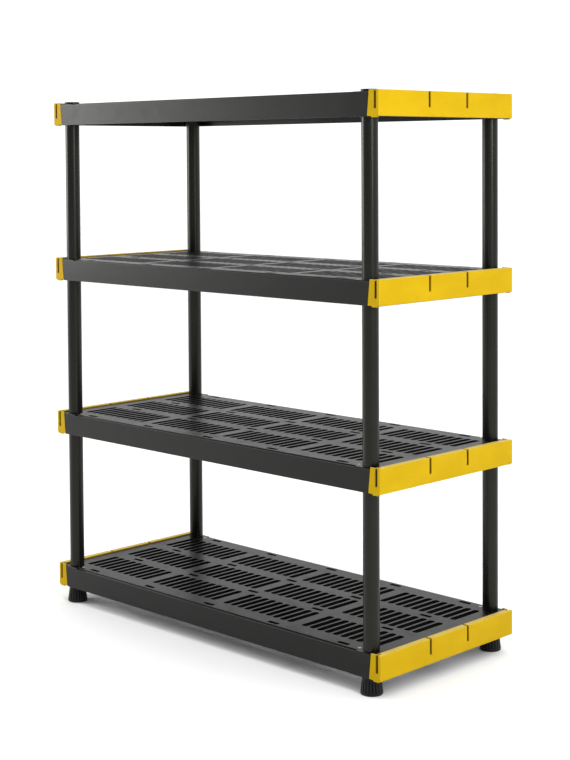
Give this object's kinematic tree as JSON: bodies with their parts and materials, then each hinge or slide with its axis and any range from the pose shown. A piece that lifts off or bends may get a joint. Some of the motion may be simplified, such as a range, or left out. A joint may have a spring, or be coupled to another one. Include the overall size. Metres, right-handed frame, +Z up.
{
  "type": "ventilated plastic shelving unit",
  "caption": "Free-standing tiered storage rack: slotted black plastic shelves with yellow clip-on end caps on round tube posts and conical feet.",
  "frame": {"origin": "on the floor, under the middle of the unit's bounding box", "axes": "+Z up, +X along the length towards the right-hand end, +Y from the front to the back"},
  "size_m": [1.2192, 0.5102, 1.4164],
  "materials": {
    "shelf_plastic": "black moulded resin with a fine matte grain",
    "cap_plastic": "safety yellow moulded resin, satin",
    "post_plastic": "black extruded resin tube, semi-gloss",
    "foot_plastic": "black moulded resin, satin"
  },
  "bodies": {
    "root": {"shelf_1": "shelf_plastic", "shelf_2": "shelf_plastic", "shelf_3": "shelf_plastic", "shelf_4": "shelf_plastic", "end_cap_left_1": "cap_plastic", "end_cap_left_2": "cap_plastic", "end_cap_left_3": "cap_plastic", "end_cap_left_4": "cap_plastic", "end_cap_right_1": "cap_plastic", "end_cap_right_2": "cap_plastic", "end_cap_right_3": "cap_plastic", "end_cap_right_4": "cap_plastic", "post_front_left_1": "post_plastic", "post_front_left_2": "post_plastic", "post_front_left_3": "post_plastic", "post_front_right_1": "post_plastic", "post_front_right_2": "post_plastic", "post_front_right_3": "post_plastic", "post_back_left_1": "post_plastic", "post_back_left_2": "post_plastic", "post_back_left_3": "post_plastic", "post_back_right_1": "post_plastic", "post_back_right_2": "post_plastic", "post_back_right_3": "post_plastic", "foot_front_left": "foot_plastic", "foot_front_right": "foot_plastic", "foot_back_left": "foot_plastic", "foot_back_right": "foot_plastic", "post_plug_front_left": "foot_plastic", "post_plug_front_right": "foot_plastic", "post_plug_back_left": "foot_plastic", "post_plug_back_right": "foot_plastic"}
  },
  "joints": []
}
